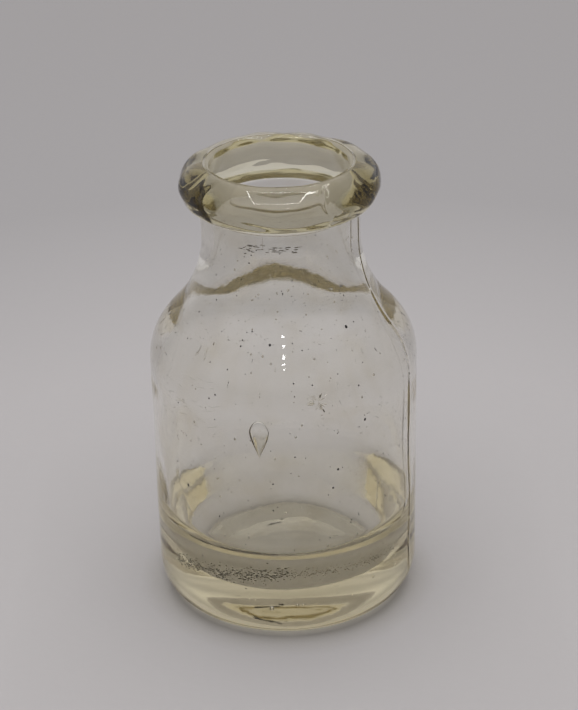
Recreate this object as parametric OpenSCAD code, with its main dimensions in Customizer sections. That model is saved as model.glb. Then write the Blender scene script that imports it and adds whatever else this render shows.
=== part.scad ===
// Small wide-mouth medicine bottle of mould-blown glass with an applied doughnut lip.
// Millimetres, +Z up. The origin is at the centre of the foot, on the surface it stands on.

/* [Body] */
// Outside diameter of the body
body_d = 36; // [35:0.5:37]
// Height at which the straight side ends and the shoulder begins
side_top = 35; // [34.5:0.5:37]
// Radius of the convex curve at the top of the body
shoulder_r = 9; // [8:0.5:10]
// Radius of the hollow curve that sweeps up into the neck
sweep_r = 16; // [14:0.5:18]
// Width of the rounded heel, measured inwards from the side
heel_w = 3.7; // [3:0.1:4.5]
// Height of the rounded heel
heel_h = 5; // [4:0.1:6]

/* [Space inside] */
// Thickness of the side wall
wall = 1.1; // [0.9:0.1:1.5]
// Thickness of the glass in the middle of the foot
floor_t = 5.4; // [4.5:0.1:6.5]
// Radius of the flat floor inside
floor_r = 9.7; // [8.5:0.1:10.5]
// Radius of the curve from the floor into the sloping bowl
floor_edge_r = 2.7; // [2:0.1:3.5]
// Height at which the inside reaches the straight wall
bowl_top = 15.4; // [14.5:0.1:16.5]
// Radius of the curve from the sloping bowl into the wall
bowl_top_r = 5.4; // [4.5:0.1:6.5]
// Height at which the inside leaves the straight wall
inner_top = 32.5; // [31:0.5:33]
// Radius of the curve at the foot of the inside shoulder
inner_shoulder_r = 15; // [13:0.5:16]
// Slope of the straight part of the inside shoulder, in degrees from upright
inner_tilt = 31; // [29:0.5:32]
// Radius of the curve from the inside shoulder into the bore
inner_sweep_r = 10; // [8:0.5:12]

/* [Foot] */
// Diameter of the shallow dish under the foot
dish_d = 20; // [16:1:22]
// Depth of that dish
dish_depth = 0.6; // [0.3:0.1:1]

/* [Neck and lip] */
// Outside diameter of the neck
neck_d = 21; // [20:0.5:22]
// Diameter of the bore that a cork fits
bore_d = 18; // [17:0.5:18.5]
// Outside diameter of the lip
lip_d = 26.5; // [25:0.5:28]
// Half of the lip's thickness, from its middle to its top
lip_half_h = 3.05; // [2.6:0.05:3.4]
// Half of the lip's width across its round section
lip_half_w = 3.55; // [3.2:0.05:3.8]
// Height of the finished bottle
total_h = 62.6; // [61:0.1:65]
// Radius that eases the inside edge of the mouth
mouth_r = 0.7; // [0.4:0.1:1]

/* [Hidden] */
$fn = 96;
steps = 14;                                   // segments in each curve of an outline
past = 1;                                     // how far the bore is cut past the top of the glass

body_r = body_d / 2;
neck_r = neck_d / 2;
bore_r = bore_d / 2;
cavity_r = body_r - wall;
outer_tilt = full_tilt(body_r, neck_r, shoulder_r, sweep_r);   // steepest slope of the outside shoulder

lip_z = total_h - lip_half_h;                 // height of the lip's widest line
lip_r = lip_d / 2 - lip_half_w;               // radius of the centre of its round section
lip_cover = 1.4;                              // glass of the lip above the end of the neck
neck_top = total_h - lip_cover;
lip_foot_angle = -acos((neck_r - lip_r) / lip_half_w);   // where the lip meets the neck

bowl_run = cavity_r - bowl_top_r - floor_r;   // from the centre of the floor's curve to the wall's
bowl_rise = bowl_top - floor_t - floor_edge_r;
bowl_slope = atan2(bowl_rise, bowl_run) + asin((floor_edge_r - bowl_top_r) / norm([bowl_run, bowl_rise]));

// Points of an elliptical arc about c, with half-axes a, from angle a0 to a1 degrees
function arc(c, a, a0, a1) =
    [for (i = [0 : steps]) let (t = a0 + (a1 - a0) * i / steps) [c[0] + a[0] * cos(t), c[1] + a[1] * sin(t)]];

// A shoulder from radius side, at height z0, up to radius neck: a convex curve of radius r1, a
// straight part tilt degrees from upright, and a hollow curve of radius r2, tangent where they meet
function straight_part(side, neck, r1, r2, tilt) = (side - neck - (r1 + r2) * (1 - cos(tilt))) / sin(tilt);
function shoulder(side, neck, r1, r2, tilt, z0) =
    let (
        straight = straight_part(side, neck, r1, r2, tilt),
        rise = (r1 + r2) * sin(tilt) + straight * cos(tilt)
    )
    concat(
        arc([side - r1, z0], [r1, r1], 0, tilt),
        arc([neck + r2, z0 + rise], [r2, r2], 180 + tilt, 180)
    );

// The tilt at which the two curves of a shoulder meet with nothing straight between them
function full_tilt(side, neck, r1, r2) = acos((neck + r2 - side + r1) / (r1 + r2));

// Solid outside form of the body, up to the end of the neck
module outside() {
    rotate_extrude() polygon(concat(
        [[0, 0]],
        arc([body_r - heel_w, heel_h], [heel_w, heel_h], -90, 0),
        shoulder(body_r, neck_r, shoulder_r, sweep_r, outer_tilt, side_top),
        [[neck_r, neck_top], [0, neck_top]]
    ));
}

// The space inside, and the bore that runs out through the neck
module inside() {
    rotate_extrude() polygon(concat(
        [[0, floor_t]],
        arc([floor_r, floor_t + floor_edge_r], [floor_edge_r, floor_edge_r], -90, bowl_slope - 90),
        arc([cavity_r - bowl_top_r, bowl_top], [bowl_top_r, bowl_top_r], bowl_slope - 90, 0),
        shoulder(cavity_r, bore_r, inner_shoulder_r, inner_sweep_r, inner_tilt, inner_top),
        [[bore_r, total_h + past], [0, total_h + past]]
    ));
}

// Shallow spherical dish that leaves a flat ring to stand on
module dish() {
    ball_r = (pow(dish_d / 2, 2) + pow(dish_depth, 2)) / (2 * dish_depth);
    translate([0, 0, dish_depth - ball_r]) sphere(r = ball_r);
}

module bottle_body() {
    color([0.80, 0.80, 0.70, 0.5]) difference() {
        outside();
        inside();
        dish();
    }
}

// The applied lip: an oval section that hugs the neck and covers its end, with the bore through it
module lip_ring() {
    color([0.62, 0.60, 0.45, 0.7]) rotate_extrude() polygon(concat(
        [[neck_r, neck_top]],
        arc([lip_r, lip_z], [lip_half_w, lip_half_h], lip_foot_angle, 90),
        arc([bore_r + mouth_r, total_h - mouth_r], [mouth_r, mouth_r], 90, 180),
        [[bore_r, neck_top]]
    ));
}

bottle_body();
lip_ring();
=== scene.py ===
"""Old glass medicine bottle: the blown body and its applied lip, on a pale floor in a light tent."""
import math

import bpy
import numpy as np
from mathutils import Matrix, Vector


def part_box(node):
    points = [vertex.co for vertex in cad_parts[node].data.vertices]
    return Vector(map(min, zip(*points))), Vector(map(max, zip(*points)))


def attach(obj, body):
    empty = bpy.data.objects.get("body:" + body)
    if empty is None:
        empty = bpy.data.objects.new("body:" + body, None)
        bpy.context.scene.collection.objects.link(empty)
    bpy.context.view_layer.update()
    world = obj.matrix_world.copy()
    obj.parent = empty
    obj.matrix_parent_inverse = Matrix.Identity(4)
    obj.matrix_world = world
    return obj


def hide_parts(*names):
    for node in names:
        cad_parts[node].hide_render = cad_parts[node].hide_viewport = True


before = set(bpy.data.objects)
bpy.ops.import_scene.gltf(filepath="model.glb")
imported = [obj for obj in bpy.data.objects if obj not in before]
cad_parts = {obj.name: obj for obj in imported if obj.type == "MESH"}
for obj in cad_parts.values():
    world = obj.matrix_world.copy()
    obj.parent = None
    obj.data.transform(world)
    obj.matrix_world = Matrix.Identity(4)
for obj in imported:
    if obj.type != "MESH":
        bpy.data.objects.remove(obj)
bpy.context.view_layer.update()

MM = 0.001

# ---------------------------------------------------------------- sizes, from the frame
body_low, body_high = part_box("bottle_body")
lip_low, lip_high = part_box("lip_ring")
BODY_R = (body_high[0] - body_low[0]) / 2
LIP_OUT_R = (lip_high[0] - lip_low[0]) / 2
TOTAL_H = lip_high[2]
LIP_FOOT = lip_low[2]

# the rest of the design, in metres and radians, as the solids have it
SIDE_TOP = 35 * MM
SHOULDER_R = 9 * MM
SWEEP_R = 16 * MM
HEEL_W = 3.7 * MM
HEEL_H = 5 * MM
WALL = 1.1 * MM
FLOOR_T = 5.4 * MM
FLOOR_R = 9.7 * MM
FLOOR_EDGE_R = 2.7 * MM
BOWL_TOP = 15.4 * MM
BOWL_TOP_R = 5.4 * MM
INNER_TOP = 32.5 * MM
INNER_SHOULDER_R = 15 * MM
INNER_TILT = math.radians(31)
INNER_SWEEP_R = 10 * MM
DISH_R = 10 * MM
DISH_DEPTH = 0.6 * MM
NECK_R = 10.5 * MM
BORE_R = 9 * MM
LIP_HALF_H = 3.05 * MM
LIP_HALF_W = 3.55 * MM
MOUTH_R = 0.7 * MM
LIP_GAP = 0.02 * MM                           # air between the foot of the lip and the end of the neck

# ---------------------------------------------------------------- outline of the glass
STEP = 0.35 * MM                              # about how far apart the points of an outline are
FEWEST_STEPS = 6                              # the fewest in an arc
SAME_POINT = 1e-6                             # points nearer than this are one


def arc(centre, half_axes, start, end):
    """Points about STEP apart on an elliptical arc, angles in degrees."""
    sweep = abs(math.radians(end - start)) * max(half_axes)
    count = max(int(sweep / STEP), FEWEST_STEPS)
    t = np.radians(np.linspace(start, end, count + 1))
    return np.stack([centre[0] + half_axes[0] * np.cos(t), centre[1] + half_axes[1] * np.sin(t)], 1)


def line(start, end):
    """Points about STEP apart on a straight line, both ends included."""
    start, end = np.array(start), np.array(end)
    count = max(int(np.linalg.norm(end - start) / STEP), 1)
    return start + (end - start) * np.linspace(0, 1, count + 1)[:, None]


def joined(*parts):
    """One run of points from several, without the doubled ones where they meet."""
    points = np.concatenate([np.atleast_2d(part) for part in parts])
    apart = np.linalg.norm(np.diff(points, axis=0), axis=1)
    return points[np.concatenate([[True], apart > SAME_POINT])]


def shoulder(side, neck, r1, r2, z0, tilt=None):
    """From the side, at height z0, up to the neck: a convex curve of radius r1, a straight part at
    tilt from upright, and a hollow curve of radius r2. With no tilt given, the curves meet."""
    if tilt is None:
        tilt = math.acos((neck + r2 - side + r1) / (r1 + r2))
    straight = (side - neck - (r1 + r2) * (1 - math.cos(tilt))) / math.sin(tilt)
    turn = math.degrees(tilt)
    low = arc((side - r1, z0), (r1, r1), 0, turn)
    run_end = low[-1] + straight * np.array([-math.sin(tilt), math.cos(tilt)])
    centre = run_end + r2 * np.array([math.cos(tilt), math.sin(tilt)])
    return joined(low, line(low[-1], run_end), arc(centre, (r2, r2), 180 + turn, 180))


def outside_outline():
    """From the middle of the foot up to the top of the bare neck."""
    ball_r = (DISH_R ** 2 + DISH_DEPTH ** 2) / (2 * DISH_DEPTH)
    edge = math.degrees(math.asin(DISH_R / ball_r))
    rise = shoulder(BODY_R, NECK_R, SHOULDER_R, SWEEP_R, SIDE_TOP)
    return joined(
        arc((0, DISH_DEPTH - ball_r), (ball_r, ball_r), 90, 90 - edge),
        line((DISH_R, 0), (BODY_R - HEEL_W, 0)),
        arc((BODY_R - HEEL_W, HEEL_H), (HEEL_W, HEEL_H), -90, 0),
        line((BODY_R, HEEL_H), (BODY_R, SIDE_TOP)),
        rise,
        line(rise[-1], (NECK_R, LIP_FOOT)),
    )


def inside_outline():
    """From the top of the bare neck down the bore to the middle of the floor inside."""
    side = BODY_R - WALL
    edge = np.array([FLOOR_R, FLOOR_T + FLOOR_EDGE_R])
    top = np.array([side - BOWL_TOP_R, BOWL_TOP])
    across = top - edge
    twist = math.asin((FLOOR_EDGE_R - BOWL_TOP_R) / math.hypot(*across))
    slope = math.degrees(math.atan2(across[1], across[0]) + twist)
    low = arc(edge, (FLOOR_EDGE_R, FLOOR_EDGE_R), -90, slope - 90)
    high = arc(top, (BOWL_TOP_R, BOWL_TOP_R), slope - 90, 0)
    rise = shoulder(side, BORE_R, INNER_SHOULDER_R, INNER_SWEEP_R, INNER_TOP, INNER_TILT)
    return joined(
        line((0, FLOOR_T), (FLOOR_R, FLOOR_T)),
        low,
        line(low[-1], high[0]),
        high,
        line((side, BOWL_TOP), (side, INNER_TOP)),
        rise,
        line(rise[-1], (BORE_R, LIP_FOOT)),
    )[::-1]


def lip_outline():
    """The lip's section, from its foot on the neck over the top and down the bore."""
    lip_r, lip_z = LIP_OUT_R - LIP_HALF_W, TOTAL_H - LIP_HALF_H
    foot = -math.degrees(math.acos((NECK_R - lip_r) / LIP_HALF_W))
    return joined(
        arc((lip_r, lip_z), (LIP_HALF_W, LIP_HALF_H), foot, 90),
        arc((BORE_R + MOUTH_R, TOTAL_H - MOUTH_R), (MOUTH_R, MOUTH_R), 90, 180),
        line((BORE_R, TOTAL_H - MOUTH_R), (BORE_R, LIP_FOOT + LIP_GAP)),
        line((BORE_R, LIP_FOOT + LIP_GAP), (NECK_R, LIP_FOOT + LIP_GAP)),
    )[:-1]


# ---------------------------------------------------------------- detail of the surface
# A detail function gives how far the surface is pushed out at a turn, radius and height.
FRONT = math.radians(-90)


def smooth(value, low, high):
    """0 below low, 1 above high, eased between."""
    t = np.clip((value - low) / (high - low), 0, 1)
    return t * t * (3 - 2 * t)


def wrapped(turn):
    """The same turn, within half a turn of zero."""
    return (turn + np.pi) % (2 * np.pi) - np.pi


def ripples(seed, count, most_waves, lengths, size):
    """A field of gentle waves over turn and height, sums of sines of about this size."""
    draw = np.random.default_rng(seed)
    around = draw.integers(1, most_waves + 1, count)
    along = 2 * np.pi / draw.uniform(*lengths, count) * draw.choice([-1, 1], count)
    start = draw.uniform(0, 2 * np.pi, count)
    share = draw.uniform(0.5, 1, count) * size / math.sqrt(count / 2)

    def field(turn, height):
        return sum(share[k] * np.sin(around[k] * turn + along[k] * height + start[k]) for k in range(count))

    return field


outer_waves = ripples(seed=3, count=9, most_waves=9, lengths=(9 * MM, 40 * MM), size=0.030 * MM)
inner_waves = ripples(seed=8, count=12, most_waves=7, lengths=(10 * MM, 40 * MM), size=0.05 * MM)
floor_waves = ripples(seed=5, count=12, most_waves=6, lengths=(4 * MM, 12 * MM), size=0.02 * MM)
lip_waves = ripples(seed=12, count=14, most_waves=12, lengths=(3 * MM, 14 * MM), size=0.075 * MM)

# seams: the turn and the height of each ridge, and its half-width
SEAM_AT = math.radians(-22)
SEAMS = ((SEAM_AT, 0.09 * MM), (SEAM_AT + math.pi, 0.03 * MM))
SEAM_W = 0.32 * MM
SEAM_WANDER = ((0.35 * MM, 6 * MM, 0), (0.2 * MM, 2.3 * MM, 1))   # size, height for a radian, start
SEAM_LEAN = math.radians(6)                   # how far a seam swings round on the shoulder
SEAM_LEANS_AT = (40 * MM, 54 * MM)
SEAM_STARTS_AT = (2 * MM, 5 * MM)

# heights and radii over which waves grow or fade
HEEL_WAVES = (0.6 * MM, 4 * MM)
FLOOR_MIDDLE = (0, 3 * MM)
BOWL_RISE = (FLOOR_T + 1 * MM, BOWL_TOP)
BOWL_WAVES, BOWL_SHARE = (12 * MM, 20 * MM), 0.35          # share of the waves that the bowl has
SHOULDER_WAVES, SHOULDER_LOSS = (30 * MM, 38 * MM), 0.75   # share of them that the shoulder loses
OUTSIDE_END = (LIP_FOOT - 1.5 * MM, LIP_FOOT - 0.2 * MM)
INSIDE_END = (LIP_FOOT - 4 * MM, LIP_FOOT - 0.2 * MM)

# the lip: where its detail starts above the foot and outside the bore
LIP_STARTS_AT = (LIP_FOOT + 0.2 * MM, LIP_FOOT + 1.5 * MM)
LIP_FACE = (BORE_R + 0.2 * MM, BORE_R + 1.5 * MM)
BORE_SHARE = 0.25                             # share of the waves that the bore has

# the groove where the wrapped glass meets itself: how far down, how it wanders, and its section
GROOVE_DOWN = 4.3 * MM
GROOVE_WANDER = ((0.5 * MM, 2, 0.4), (0.2 * MM, 5, 0))     # size, waves round the lip, start
GROOVE_W, GROOVE_DEPTH = 0.35 * MM, 0.10 * MM
GROOVE_FACE = (NECK_R, NECK_R + 1.5 * MM)

# where the gather of the lip laps over itself: turn, height of the step, width of its edge
LAPS = ((FRONT - 0.84, 0.22 * MM, 0.040), (FRONT + 0.50, 0.24 * MM, 0.035), (FRONT + 2.3, 0.15 * MM, 0.05))
LAP_FADE = 0.75                               # turn over which a step dies away
LAP_WANDER, LAP_WAVE = 0.05, 0.9 * MM         # turn, and height for a radian
LAP_NOTCH = 0.5                               # depth of the notch at the edge, in steps
LAP_FACE = (NECK_R, NECK_R + 1 * MM)


def seam(turn, height):
    """The two ridges that the halves of the mould leave, wandering a little."""
    wander = sum(size * np.sin(height / length + start) for size, length, start in SEAM_WANDER)
    lean = SEAM_LEAN * smooth(height, *SEAM_LEANS_AT)
    total = 0
    for at, proud in SEAMS:
        off = wrapped(turn - at - lean)
        total = total + proud * np.exp(-((off * BODY_R - wander) / SEAM_W) ** 2)
    return total * smooth(height, *SEAM_STARTS_AT)


def outside_detail(turn, r, height):
    """Waves and seams, with a smooth foot and a smooth end under the lip."""
    shape = outer_waves(turn, height) * smooth(height, *HEEL_WAVES) + seam(turn, height)
    return shape * (1 - smooth(height, *OUTSIDE_END))


def inside_detail(turn, r, height):
    """Waves of the wall, calmer in the bowl and the shoulder, and smaller ones in the floor."""
    middle = smooth(r, *FLOOR_MIDDLE)
    in_shoulder = 1 - SHOULDER_LOSS * smooth(height, *SHOULDER_WAVES)
    in_bowl = BOWL_SHARE + (1 - BOWL_SHARE) * smooth(height, *BOWL_WAVES)
    wall = inner_waves(turn, height) * in_shoulder * in_bowl
    floor_part = floor_waves(turn, r) * (1 - smooth(height, *BOWL_RISE))
    return (wall + floor_part) * middle * (1 - smooth(height, *INSIDE_END))


def lip_detail(turn, r, height):
    """Waves of the tooled lip, the groove round it, and the laps."""
    face = smooth(r, *LIP_FACE)
    wander = sum(size * np.sin(turn * waves + start) for size, waves, start in GROOVE_WANDER)
    groove_z = TOTAL_H - GROOVE_DOWN + wander
    groove = np.exp(-((height - groove_z) / GROOVE_W) ** 2) * smooth(r, *GROOVE_FACE)
    shape = lip_waves(turn, height + r) * (BORE_SHARE + (1 - BORE_SHARE) * face) - GROOVE_DEPTH * groove
    for at, step, edge in LAPS:
        off = wrapped(turn - at - LAP_WANDER * np.sin(height / LAP_WAVE))
        drop = smooth(off, -edge, edge) * (1 - smooth(off, edge, LAP_FADE))
        notch = np.exp(-(off / edge) ** 2)
        shape = shape - step * (drop + LAP_NOTCH * notch) * face * smooth(r, *LAP_FACE)
    return shape * smooth(height, *LIP_STARTS_AT)


def no_detail(turn, r, height):
    """A smooth surface."""
    return 0 * r


# ---------------------------------------------------------------- mesh
COARSE_TURNS = 420                            # even turns round the bottle
SEAM_SPAN = (-4, 9.01, 0.35)                  # degrees from a seam, which leans: first, end and step
LAP_SPAN = (-5, 5.01, 0.4)                    # degrees from a lap
TURN_GAP = 0.007                              # an even turn nearer than this to a close one is left out


def mesh_turns():
    """The turns at which an outline is set round the axis, closer together at the seams and laps."""
    coarse = np.linspace(-np.pi, np.pi, COARSE_TURNS + 1)[:-1]
    near_seam = np.radians(np.arange(*SEAM_SPAN))
    near_lap = np.radians(np.arange(*LAP_SPAN))
    fine = np.concatenate([at + near_seam for at, _ in SEAMS] + [at + near_lap for at, _, _ in LAPS])
    fine = np.unique(np.round(wrapped(fine), decimals=5))
    away = np.min(np.abs(coarse[:, None] - fine[None, :]), axis=1)
    found = np.sort(np.concatenate([coarse[away > TURN_GAP], fine]))
    return found[np.concatenate([[True], np.diff(found) > TURN_GAP / 2])]


turns = mesh_turns()


def normals(outline):
    """Unit normals of an outline, out of the glass, where the glass is on its left."""
    along = np.gradient(outline, axis=0)
    across = np.stack([along[:, 1], -along[:, 0]], 1)
    return across / np.linalg.norm(across, axis=1)[:, None]


def turned(outline, detail):
    """The outline turned about +Z at every one of turns, pushed along its normal by detail."""
    out = normals(outline)
    turn, r = np.meshgrid(turns, outline[:, 0])
    z = np.broadcast_to(outline[:, 1][:, None], r.shape)
    push = detail(turn, r, z)
    r, z = r + push * out[:, 0][:, None], z + push * out[:, 1][:, None]
    return np.stack([r * np.cos(turn), r * np.sin(turn), z], 2)


def ring_faces(count, closed=False):
    """Quads between neighbouring rings, and from the last ring back to the first if closed."""
    around = len(turns)
    i = np.arange(count if closed else count - 1)[:, None]
    j = np.arange(around)[None, :]
    k, m = (j + 1) % around, (i + 1) % count
    corners = np.stack([i * around + j, i * around + k, m * around + k, m * around + j], 2)
    return corners.reshape(-1, 4).tolist()


def body_mesh():
    """The body's glass: outside, the end of the neck and inside, closed by a pole at each end."""
    outside, inside = outside_outline()[1:], inside_outline()[:-1]
    rim = line(outside[-1], inside[0])[1:-1]
    rings = np.concatenate([
        turned(outside, outside_detail),
        turned(rim, no_detail),
        turned(inside, inside_detail),
    ])
    around, count = len(turns), len(rings)
    points = rings.reshape(-1, 3).tolist() + [(0, 0, DISH_DEPTH), (0, 0, FLOOR_T)]
    foot, top = count * around, (count - 1) * around
    faces = ring_faces(count)
    faces += [[foot, (j + 1) % around, j] for j in range(around)]
    faces += [[foot + 1, top + j, top + (j + 1) % around] for j in range(around)]
    return points, faces


def lip_mesh():
    """The lip's glass, a closed ring."""
    rings = turned(lip_outline(), lip_detail)
    return rings.reshape(-1, 3).tolist(), ring_faces(len(rings), closed=True)


def ball(centre, half_axes, axes=np.eye(3), *, rows, columns, hollow=True):
    """A closed ellipsoid; hollow turns its faces inwards, which makes it a bubble in the glass."""
    polar = np.linspace(0, np.pi, rows + 1)[1:-1]
    turn = np.linspace(0, 2 * np.pi, columns + 1)[:-1]
    grid = np.stack([
        np.sin(polar)[:, None] * np.cos(turn),
        np.sin(polar)[:, None] * np.sin(turn),
        np.cos(polar)[:, None] * np.ones(columns),
    ], 2).reshape(-1, 3)
    points = np.concatenate([grid, [[0, 0, 1], [0, 0, -1]]]) * half_axes @ np.asarray(axes) + centre
    top, bottom = len(grid), len(grid) + 1
    faces = []
    for j in range(columns):
        k = (j + 1) % columns
        faces += [[top, j, k], [bottom, (rows - 2) * columns + k, (rows - 2) * columns + j]]
        faces += [[i * columns + j, (i + 1) * columns + j, (i + 1) * columns + k, i * columns + k]
                  for i in range(rows - 2)]
    if hollow:
        faces = [face[::-1] for face in faces]
    return points.tolist(), faces


def piece_of(name, parts, materials):
    """One object from (points, faces, material number) parts."""
    points, faces, slots = [], [], []
    for part_points, part_faces, number in parts:
        start = len(points)
        points += part_points
        faces += [[start + i for i in face] for face in part_faces]
        slots += [number] * len(part_faces)
    mesh = bpy.data.meshes.new(name)
    mesh.from_pydata(points, [], faces)
    mesh.polygons.foreach_set("use_smooth", [True] * len(faces))
    mesh.polygons.foreach_set("material_index", slots)
    for material in materials:
        mesh.materials.append(material)
    piece = bpy.data.objects.new(name, mesh)
    bpy.context.collection.objects.link(piece)
    return piece


# ---------------------------------------------------------------- places in the wall
GLASS, GRIT, STAIN = 0, 1, 2                  # the body's materials, by number

OUT_LINE = outside_outline()
RISING = OUT_LINE[OUT_LINE[:, 1] > DISH_DEPTH]             # the outside above the foot
IN_LINE = inside_outline()[::-1]
SLOPE_REACH = 0.5 * MM                        # the wall's lean is taken this far above and below
MID_WALL, OUTER_FACE = 0.5, 1                 # depths in the wall


def wall_radii(height):
    """The inside and outside radius of the wall at this height."""
    return np.interp(height, IN_LINE[:, 1], IN_LINE[:, 0]), np.interp(height, RISING[:, 1], RISING[:, 0])


def wall_place(turn, height, depth):
    """A point in the wall, depth from 0 on the inside to 1 on the outside, and the local axes:
    round the bottle, inwards through the wall, and up along it."""
    r_in, r_out = wall_radii(height)
    spread = sum(wall_radii(height + SLOPE_REACH)) - sum(wall_radii(height - SLOPE_REACH))
    lean = spread / 2 / (2 * SLOPE_REACH)
    radial = np.array([math.cos(turn), math.sin(turn), 0])
    up_wall = (radial * lean + np.array([0, 0, 1])) / math.hypot(lean, 1)
    around = np.array([-math.sin(turn), math.cos(turn), 0])
    axes = np.array([around, np.cross(up_wall, around), up_wall])
    return radial * (r_in + (r_out - r_in) * depth) + np.array([0, 0, height]), axes


# ---------------------------------------------------------------- bubbles, cracks and specks
SEED_DEPTHS = (0.4, 0.6)
SEED_STRETCH = (1, 1.6)                       # how much longer than wide
SEED_MOST = 0.14                              # largest radius, as a share of the wall
FLOOR_CLEAR = 0.5 * MM                        # none with its middle this near the height of the floor


def seeds(seed, count, heights, sizes):
    """Small bubbles scattered through the glass, drawn out a little upwards."""
    draw = np.random.default_rng(seed)
    found = []
    for _ in range(count):
        height = draw.uniform(*heights)
        place, axes = wall_place(draw.uniform(-np.pi, np.pi), height, draw.uniform(*SEED_DEPTHS))
        r_in, r_out = wall_radii(height)
        size = min(sizes[0] * (sizes[1] / sizes[0]) ** (draw.uniform() ** 2), SEED_MOST * (r_out - r_in))
        half = np.array([1, 1, draw.uniform(*SEED_STRETCH)]) * size
        if abs(height - FLOOR_T) > FLOOR_CLEAR:
            found.append((*ball(place, half, axes, rows=6, columns=8), GLASS))
    return found


TEAR_WIDE_AT, TEAR_TAPER = 1.45, 0.8          # how far up it is full width, in half-heights, and the curve


def teardrop(turn, low, high, half_width, half_depth):
    """The blister: a flat bubble, round above and drawn to a point below."""
    middle, half = (low + high) / 2, (high - low) / 2
    place, axes = wall_place(turn, middle, MID_WALL)
    points, faces = ball((0, 0, 0), (1, 1, 1), rows=24, columns=32)
    p = np.array(points)
    narrow = np.clip((p[:, 2] + 1) / TEAR_WIDE_AT, 0, 1) ** TEAR_TAPER
    p = np.stack([p[:, 0] * half_width * narrow, p[:, 1] * half_depth * narrow, p[:, 2] * half], 1)
    return (p @ axes + place).tolist(), faces, GLASS


# a bruise's cracks: how far out, how deep, how much they tilt, and half of each size in millimetres
CRACK_OUT = (0.15, 1)
CRACK_DEPTHS = (0.45, 0.75)
CRACK_TILT = 1.3
CRACK_LONG, CRACK_WIDE, CRACK_THIN = (0.15, 0.5), (0.06, 0.2), 0.008


def bruise(seed, turn, height, reach, count):
    """A star of thin cracks round a knock on the outside."""
    draw = np.random.default_rng(seed)
    found = []
    for _ in range(count):
        way = draw.uniform(0, 2 * np.pi)
        out = reach * draw.uniform(*CRACK_OUT)
        crack_turn, crack_z = turn + math.cos(way) * out / BODY_R, height + math.sin(way) * out
        place, axes = wall_place(crack_turn, crack_z, draw.uniform(*CRACK_DEPTHS))
        tilt = draw.uniform(-CRACK_TILT, CRACK_TILT)
        long_axis = math.cos(way) * axes[0] + math.sin(way) * axes[2]
        side = np.cross(long_axis, axes[1])
        flat = math.cos(tilt) * side + math.sin(tilt) * axes[1]
        crack_axes = np.array([long_axis, flat, np.cross(long_axis, flat)])
        half = np.array([draw.uniform(*CRACK_LONG), draw.uniform(*CRACK_WIDE), CRACK_THIN]) * MM
        found.append((*ball(place, half, crack_axes, rows=6, columns=10), GLASS))
    return found


def streak(turn, height, depth, half, tilt):
    """A thin crack or scratch: a sliver of air in the wall, turned by tilt from upright."""
    place, axes = wall_place(turn, height, depth)
    long_axis = math.cos(tilt) * axes[2] + math.sin(tilt) * axes[0]
    side = np.cross(axes[1], long_axis)
    return (*ball(place, half, np.array([side, axes[1], long_axis]), rows=10, columns=10), GLASS)


SKIN = 0.11 * MM                              # glass between the outside and what lies under it
SPECK_SHAPE = np.array([1, 0.5, 1.2])


def smudge(turn, height, half):
    """A flat stain just under the skin of the glass."""
    place, axes = wall_place(turn, height, OUTER_FACE)
    place = place + axes[1] * SKIN
    return (*ball(place, half, axes, hollow=False, rows=6, columns=10), STAIN)


def speck(turn, height, size):
    """A fleck of dark grit just under the skin of the glass."""
    place, axes = wall_place(turn, height, OUTER_FACE)
    place = place + axes[1] * (size * SPECK_SHAPE[1] + SKIN)
    return (*ball(place, SPECK_SHAPE * size, axes, hollow=False, rows=6, columns=8), GRIT)


# ---------------------------------------------------------------- the marks on this bottle
# turns are from the front, lengths in millimetres and depths as in wall_place
BIG_FLECKS = (                                # turn, height, size
    (-0.12, 42.8, 0.16), (0.66, 43.6, 0.2), (0.62, 32.1, 0.17),
    (-0.81, 21.6, 0.19), (0.39, 25.9, 0.15), (0.35, 23.3, 0.13),
)
FINE_FLECKS = 520
FINE_HEIGHTS = (13, 55)
FINE_SIZE, FINE_SPREAD = 0.04, 0.07           # the least, and how much more some have

STAINS = 46
STAIN_TURNS = (-0.52, 0.22)
STAIN_HEIGHT, STAIN_SPREAD = 54.4, 0.35
STAIN_LONG, STAIN_TALL = (0.10, 0.42), (0.03, 0.07)
MARK_THIN = 0.02                              # half-thickness of a stain or a mark in the ring

RING_MARKS = 1100
RING_REACH = 1.0                              # turn to each side
RING_HEIGHT = 10.9
RING_BARE = 0.55                              # share of the marks that the right-hand side lacks
RING_LEFT = (2.0, 0.55, 0.13)                 # rise to the right for a radian, spread, largest mark
RING_RIGHT = (-0.7, 0.35, 0.08)
RING_SMALLEST = 0.05
RING_STRETCH, RING_TALL = (1, 1.8), 0.7

SCRATCH = (0.74, 19.4, 0.6, (0.05, 0.03, 2.7), 0.06)       # turn, height, depth, half of each size, tilt
HAIRLINE = (-0.225, 55.2, 0.8, (0.03, 0.03, 0.9), 0.0)
WISPS = 26
WISP_WIDE, WISP_THIN, WISP_LONG = (0.015, 0.03), 0.02, (0.3, 1.1)
WISP_TURNS, WISP_HEIGHTS, WISP_DEPTHS = (-1.0, -0.5), (30, 38), (0.6, 0.8)
WISP_TILTS = (1.1, 1.9)

FOOT_BUBBLES = ((-2.25, -17.2, 5.2, 0.34), (1.15, -17.3, 5.7, 0.22), (1.95, -17.3, 5.7, 0.18))   # x, y, z, r
FLOOR_MARKS = (                               # x, y, half-length, half-width
    (-2.0, 4.9, 0.8, 0.16), (-1.3, 5.1, 0.4, 0.12), (-0.9, 6.0, 0.22, 0.18), (6.6, 1.0, 0.8, 0.07),
    (7.6, 0.1, 0.9, 0.08), (8.5, 0.6, 0.5, 0.07), (-2.6, 4.7, 0.35, 0.10),
)
FLOOR_MARK_DEEP, FLOOR_MARK_THIN = 0.12, 0.04


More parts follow.
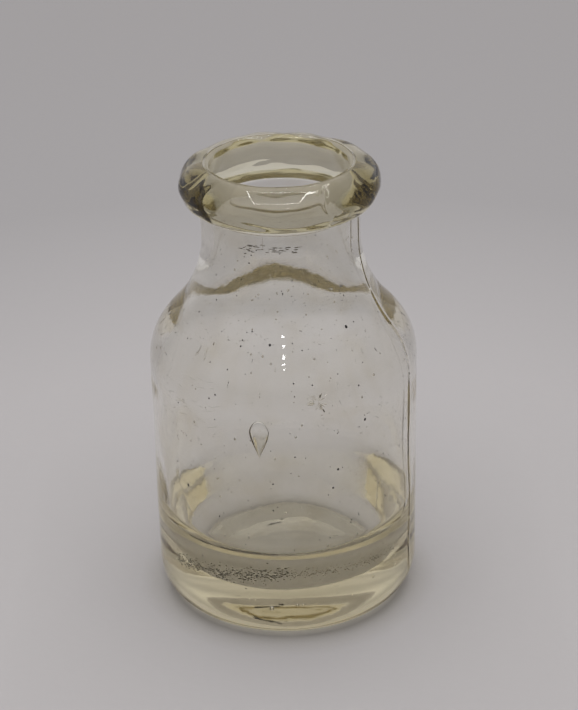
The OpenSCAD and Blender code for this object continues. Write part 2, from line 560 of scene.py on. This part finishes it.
def flecks(draw):
    """Dark grit: six flecks that stand out, and fine ones all round."""
    found = [speck(FRONT + off, height * MM, size * MM) for off, height, size in BIG_FLECKS]
    for _ in range(FINE_FLECKS):
        size = FINE_SIZE + FINE_SPREAD * draw.uniform() ** 2
        found.append(speck(draw.uniform(-np.pi, np.pi), draw.uniform(*FINE_HEIGHTS) * MM, size * MM))
    return found


def neck_stains(draw):
    """Stains under the lip, on the front of the neck."""
    found = []
    for _ in range(STAINS):
        turn = FRONT + draw.uniform(*STAIN_TURNS)
        half = np.array([draw.uniform(*STAIN_LONG), MARK_THIN, draw.uniform(*STAIN_TALL)]) * MM
        found.append(smudge(turn, draw.normal(STAIN_HEIGHT, STAIN_SPREAD) * MM, half))
    return found


def foot_band_marks(draw):
    """Dark marks in a band round the front of the foot: coarse and rising from the left, fine and sparse on
    the right.
    """
    found = []
    for _ in range(RING_MARKS):
        off = draw.uniform(-RING_REACH, RING_REACH)
        if off > 0 and draw.uniform() < RING_BARE:
            continue
        rise, spread, largest = RING_LEFT if off < 0 else RING_RIGHT
        height = RING_HEIGHT + off * rise + draw.normal(0, spread)
        size = draw.uniform(RING_SMALLEST, largest)
        half = np.array([size * draw.uniform(*RING_STRETCH), MARK_THIN, size * RING_TALL]) * MM
        found.append(smudge(FRONT + off, height * MM, half))
    return found


def scratches(draw):
    """A scratch low on the right, a hairline down the neck, and short wisps on the left."""
    found = []
    for off, height, depth, half, tilt in (SCRATCH, HAIRLINE):
        found.append(streak(FRONT + off, height * MM, depth, np.array(half) * MM, tilt))
    for _ in range(WISPS):
        half = np.array([draw.uniform(*WISP_WIDE), WISP_THIN, draw.uniform(*WISP_LONG)]) * MM
        turn = FRONT + draw.uniform(*WISP_TURNS)
        height = draw.uniform(*WISP_HEIGHTS) * MM
        depth = draw.uniform(*WISP_DEPTHS)
        found.append(streak(turn, height, depth, half, draw.uniform(*WISP_TILTS)))
    return found


def foot_bubbles():
    """Three round bubbles in the thick foot, at the front."""
    return [(*ball(np.array([x, y, z]) * MM, np.full(3, r * MM), rows=12, columns=16), GLASS)
            for x, y, z, r in FOOT_BUBBLES]


def floor_marks():
    """Stains in the floor, just under its upper face."""
    found = []
    for x, y, long, wide in FLOOR_MARKS:
        half = np.array([long, wide, FLOOR_MARK_THIN]) * MM
        place = np.array([x * MM, y * MM, FLOOR_T - FLOOR_MARK_DEEP * MM])
        found.append((*ball(place, half, hollow=False, rows=6, columns=12), STAIN))
    return found


# ---------------------------------------------------------------- materials
IOR = 1.5
FILM = (0.976, 0.973, 0.955)                  # where the glass is clean
GRIME = (0.925, 0.905, 0.850)                 # where it is dirty
GRIME_FROM = (0.50, 0.72)                     # noise at which it is the one and the other
GRIME_NOISE = (170, 6)                        # scale and detail
WORN = 0.07                                   # roughness where it is worn, and none elsewhere
WORN_FROM = (0.55, 0.75)
WORN_NOISE = (420, 8)
RELIEF = ((240, 2, 0.030 * MM), (1300, 5, 0.004 * MM))     # waves and pits: scale, detail and depth

BODY_TINT, BODY_DENSITY = (0.65, 0.56, 0.233), 30
LIP_TINT, LIP_DENSITY = (0.50, 0.42, 0.05), 115
GRIT_COLOUR, GRIT_ROUGHNESS = (0.012, 0.009, 0.006), 0.6
STAIN_COLOUR, STAIN_ROUGHNESS = (0.13, 0.11, 0.06), 0.7


def new_material(name):
    """A material, its nodes and its links."""
    material = bpy.data.materials.new(name)
    material.use_nodes = True
    return material, material.node_tree.nodes, material.node_tree.links


def noise(nodes, links, where, scale, detail):
    """Noise over the object's own coordinates, which are in metres."""
    texture = nodes.new("ShaderNodeTexNoise")
    texture.inputs["Scale"].default_value = scale
    texture.inputs["Detail"].default_value = detail
    links.new(where.outputs["Object"], texture.inputs["Vector"])
    return texture.outputs["Fac"]


def glass(name, tint, density):
    """Old glass: wavy and finely pitted, with a patchy film of grime and worn, duller places."""
    material, nodes, links = new_material(name)
    shader = nodes["Principled BSDF"]
    shader.inputs["IOR"].default_value = IOR
    shader.inputs["Transmission Weight"].default_value = 1
    where = nodes.new("ShaderNodeTexCoord")

    film = nodes.new("ShaderNodeValToRGB")
    for stop, at, colour in zip(film.color_ramp.elements, GRIME_FROM, (FILM, GRIME)):
        stop.position = at
        stop.color = (*colour, 1)
    links.new(noise(nodes, links, where, *GRIME_NOISE), film.inputs["Fac"])
    links.new(film.outputs["Color"], shader.inputs["Base Color"])

    worn = nodes.new("ShaderNodeMapRange")
    worn.inputs["From Min"].default_value, worn.inputs["From Max"].default_value = WORN_FROM
    worn.inputs["To Max"].default_value = WORN
    links.new(noise(nodes, links, where, *WORN_NOISE), worn.inputs["Value"])
    links.new(worn.outputs["Result"], shader.inputs["Roughness"])

    bump = None
    for scale, detail, depth in RELIEF:
        layer = nodes.new("ShaderNodeBump")
        layer.inputs["Distance"].default_value = depth
        links.new(noise(nodes, links, where, scale, detail), layer.inputs["Height"])
        if bump:
            links.new(bump.outputs["Normal"], layer.inputs["Normal"])
        bump = layer
    links.new(bump.outputs["Normal"], shader.inputs["Normal"])

    inside = nodes.new("ShaderNodeVolumeAbsorption")
    inside.inputs["Color"].default_value = (*tint, 1)
    inside.inputs["Density"].default_value = density
    links.new(inside.outputs["Volume"], nodes["Material Output"].inputs["Volume"])
    return material


def opaque(name, colour, roughness):
    """A plain material that lets no light through."""
    material, nodes, _ = new_material(name)
    shader = nodes["Principled BSDF"]
    shader.inputs["Base Color"].default_value = (*colour, 1)
    shader.inputs["Roughness"].default_value = roughness
    return material


# ---------------------------------------------------------------- floor
FLOOR_HALF = 1.5
FLOOR_DOWN = 0.03 * MM                        # how far under the foot it lies
FLOOR_ROUGHNESS = 0.9
FLOOR_REACH = 0.30
GRAIN_SCALE, GRAIN_DETAIL, GRAIN_DEPTH = 900, 3, 0.05 * MM
# Light and shade painted on the floor card. A painted pool of light under the foot stands in for the light
# that the glass foot would focus there. A painted contact shadow lies in a thin ring round the foot. Painted
# shade darkens the card from about 7 to 15 cm out, and it lifts a little again at the far edge.
FLOOR_PAINTED_LIGHT_AND_SHADE = (                               # distance from the axis and colour, lighter under the foot
    (0.0154, (0.93, 0.90, 0.86)),
    (0.0162, (0.450, 0.430, 0.412)),
    (0.0210, (0.540, 0.522, 0.524)),
    (0.07, (0.532, 0.514, 0.518)),
    (0.145, (0.440, 0.428, 0.434)),
    (0.29, (0.478, 0.464, 0.469)),
)


def floor_material():
    """Matt card with a fine grain, with light and shade painted into its colour by the distance from the
    bottle: a painted pool of light under the foot, a painted contact shadow round it, and painted shade
    further out.
    """
    material, nodes, links = new_material("floor_card")
    shader = nodes["Principled BSDF"]
    shader.inputs["Roughness"].default_value = FLOOR_ROUGHNESS
    where = nodes.new("ShaderNodeTexCoord")
    away = nodes.new("ShaderNodeVectorMath")
    away.operation = "LENGTH"
    links.new(where.outputs["Object"], away.inputs[0])
    spread = nodes.new("ShaderNodeMapRange")
    spread.inputs["From Max"].default_value = FLOOR_REACH
    links.new(away.outputs["Value"], spread.inputs["Value"])

    # the painted light and shade of the card, by distance from the axis
    ramp = nodes.new("ShaderNodeValToRGB")
    links.new(spread.outputs["Result"], ramp.inputs["Fac"])
    while len(ramp.color_ramp.elements) < len(FLOOR_PAINTED_LIGHT_AND_SHADE):
        ramp.color_ramp.elements.new(1)
    for stop, (distance, colour) in zip(ramp.color_ramp.elements, FLOOR_PAINTED_LIGHT_AND_SHADE):
        stop.position = distance / FLOOR_REACH
        stop.color = (*colour, 1)
    links.new(ramp.outputs["Color"], shader.inputs["Base Color"])

    grain = nodes.new("ShaderNodeBump")
    grain.inputs["Distance"].default_value = GRAIN_DEPTH
    links.new(noise(nodes, links, where, GRAIN_SCALE, GRAIN_DETAIL), grain.inputs["Height"])
    links.new(grain.outputs["Normal"], shader.inputs["Normal"])
    return material


def floor_card():
    """The square card that the bottle stands on."""
    corners = [(x * FLOOR_HALF, y * FLOOR_HALF, 0) for x, y in ((-1, -1), (1, -1), (1, 1), (-1, 1))]
    mesh = bpy.data.meshes.new("floor")
    mesh.from_pydata(corners, [], [(0, 1, 2, 3)])
    mesh.materials.append(floor_material())
    card = bpy.data.objects.new("floor", mesh)
    card.location.z = -FLOOR_DOWN
    bpy.context.collection.objects.link(card)
    return card


floor = floor_card()

# ---------------------------------------------------------------- camera, at the photo's angle
PITCH = 0.4591                                # radians below level
ROLL = -0.0213                                # radians about the line of sight
DISTANCE = 13.7744 * BODY_R                   # in front of the bottle's axis
HEIGHT = 8.7216 * BODY_R                      # above the foot
ASIDE = 0.0414 * BODY_R                       # to the right of the axis
SENSOR = 36                                   # millimetres along the image's longer side
FOCAL_PX, LONG_SIDE_PX = 2043.3, 710          # focal length and that side, in pixels
CLIP = (0.01, 10)


def add_camera():
    """The camera, pitched down and rolled a little."""
    found = bpy.data.objects.new("camera", bpy.data.cameras.new("camera"))
    bpy.context.collection.objects.link(found)
    found.data.sensor_width = SENSOR
    found.data.lens = FOCAL_PX * SENSOR / LONG_SIDE_PX
    found.data.clip_start, found.data.clip_end = CLIP
    ahead = Vector((0, math.cos(PITCH), -math.sin(PITCH)))
    right = Vector((1, 0, 0))
    up = right.cross(ahead)
    rolled_right = right * math.cos(ROLL) + up * math.sin(ROLL)
    rolled_up = up * math.cos(ROLL) - right * math.sin(ROLL)
    facing = Matrix((rolled_right, rolled_up, -ahead)).transposed().to_4x4()
    found.matrix_world = Matrix.Translation((ASIDE, -DISTANCE, HEIGHT)) @ facing
    return found


camera = add_camera()
bpy.context.scene.camera = camera

# ---------------------------------------------------------------- world and lights
# The tent's dim sides, and the lit parts laid over them in turn. Each part has a colour and its
# limits: an axis, and the two values of a direction's share of that axis between which it comes in.
SIDE_GLOW = (0.34, 0.333, 0.333)
GLOWS = (
    ((("Y", 0.40, 0.70), ("Z", 0.60, 0.48)), (0.60, 0.585, 0.585)),       # the back, below the ring
    ((("Z", 0.50, 0.66),), (0.74, 0.725, 0.725)),                         # the upper ring
    ((("Y", -0.05, -0.35), ("Z", 0.08, 0.35)), (0.76, 0.745, 0.745)),     # the front, above the floor
    ((("Z", 0.90, 0.96),), (0.62, 0.61, 0.61)),                           # straight overhead
)


def set_world():
    """The tent round the bottle: a lit ring above, a lit front and back, and dimmer sides and top."""
    world = bpy.data.worlds.new("tent")
    bpy.context.scene.world = world
    world.use_nodes = True
    nodes, links = world.node_tree.nodes, world.node_tree.links
    where = nodes.new("ShaderNodeTexCoord")
    split = nodes.new("ShaderNodeSeparateXYZ")
    links.new(where.outputs["Generated"], split.inputs[0])

    def share_of(axis, low, high):
        share = nodes.new("ShaderNodeMapRange")
        share.interpolation_type = "SMOOTHSTEP"
        share.inputs["From Min"].default_value = low
        share.inputs["From Max"].default_value = high
        links.new(split.outputs[axis], share.inputs["Value"])
        return share.outputs["Result"]

    glow = None
    for limits, colour in GLOWS:
        share = share_of(*limits[0])
        for limit in limits[1:]:
            both = nodes.new("ShaderNodeMath")
            both.operation = "MULTIPLY"
            links.new(share, both.inputs[0])
            links.new(share_of(*limit), both.inputs[1])
            share = both.outputs[0]
        mix = nodes.new("ShaderNodeMix")
        mix.data_type = "RGBA"
        links.new(share, mix.inputs["Factor"])
        mix.inputs["B"].default_value = (*colour, 1)
        if glow:
            links.new(glow.outputs["Result"], mix.inputs["A"])
        else:
            mix.inputs["A"].default_value = (*SIDE_GLOW, 1)
        glow = mix
    links.new(glow.outputs["Result"], nodes["Background"].inputs["Color"])


def area_light(name, place, size, watts, aim):
    """A rectangular lamp that is not seen through the glass."""
    data = bpy.data.lights.new(name, "AREA")
    data.shape = "RECTANGLE"
    data.size, data.size_y = size
    data.energy = watts
    light = bpy.data.objects.new(name, data)
    light.location = place
    light.rotation_euler = (Vector(aim) - Vector(place)).to_track_quat("-Z", "Y").to_euler()
    light.visible_transmission = False
    bpy.context.collection.objects.link(light)


# a rectangle of strips above the bottle, which the lip reflects
STRIPS_Z = 0.25
STRIPS_X = 0.065
STRIPS_Y = 0.10
STRIP_W = 0.005
SIDE_WATTS, END_WATTS = 0.05, 0.035

# small square lamps in a rising row in front, which the front of the shoulder reflects
DOT_LIFTS = (46, 55, 64)                      # degrees above level
DOT_REACH = 0.25
DOT_SIZE = 0.010
DOT_WATTS = 0.006
DOT_AIM = (0, -0.015, 0.041)


def add_strips():
    """Two long strips beside the axis and two across, all facing down."""
    for side in (-1, 1):
        x, y = side * STRIPS_X, side * STRIPS_Y
        area_light(f"strip_side_{side}", (x, 0, STRIPS_Z), (STRIP_W, 2 * STRIPS_Y), SIDE_WATTS, (x, 0, 0))
        area_light(f"strip_end_{side}", (0, y, STRIPS_Z), (2 * STRIPS_X, STRIP_W), END_WATTS, (0, y, 0))


def add_dots():
    """The row of small lamps, each at its own height and aimed at the shoulder."""
    for lift in DOT_LIFTS:
        rise = math.radians(lift)
        y = DOT_AIM[1] - DOT_REACH * math.cos(rise)
        z = DOT_AIM[2] + DOT_REACH * math.sin(rise)
        area_light(f"lamp_{lift}", (0, y, z), (DOT_SIZE, DOT_SIZE), DOT_WATTS, DOT_AIM)


set_world()
add_strips()
add_dots()

# ---------------------------------------------------------------- the bottle
draw = np.random.default_rng(31)
glass_parts = [
    (*body_mesh(), GLASS),
    *seeds(seed=21, count=420, heights=(12 * MM, 54 * MM), sizes=(0.05 * MM, 0.16 * MM)),
    *seeds(seed=22, count=160, heights=(2 * MM, 12 * MM), sizes=(0.04 * MM, 0.2 * MM)),
    teardrop(FRONT - 0.19, low=28.2 * MM, high=33.6 * MM, half_width=1.45 * MM, half_depth=0.40 * MM),
    *bruise(seed=4, turn=FRONT + 0.25, height=36 * MM, reach=1.4 * MM, count=26),
    *flecks(draw),
    *neck_stains(draw),
    *foot_band_marks(draw),
    *scratches(draw),
    *foot_bubbles(),
    *floor_marks(),
]
body_glass = glass("body_glass", BODY_TINT, BODY_DENSITY)
lip_glass = glass("lip_glass", LIP_TINT, LIP_DENSITY)
grit = opaque("grit", GRIT_COLOUR, GRIT_ROUGHNESS)
stain = opaque("stain", STAIN_COLOUR, STAIN_ROUGHNESS)

body = piece_of("body_glass", glass_parts, [body_glass, grit, stain])
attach(body, "root")
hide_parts("bottle_body")

lip = piece_of("lip_glass", [(*lip_mesh(), GLASS)], [lip_glass])
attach(lip, "root")
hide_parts("lip_ring")

# ---------------------------------------------------------------- render settings that go with the looks
BOUNCES = 64                                  # light goes round many times inside the shoulder
CLEAR_BOUNCES = 16
CLAMP = 3

scene = bpy.context.scene
scene.view_settings.view_transform = "Standard"
scene.cycles.max_bounces = BOUNCES
scene.cycles.transmission_bounces = BOUNCES
scene.cycles.glossy_bounces = BOUNCES
scene.cycles.transparent_max_bounces = CLEAR_BOUNCES
scene.cycles.sample_clamp_indirect = CLAMP
scene.cycles.use_denoising = True
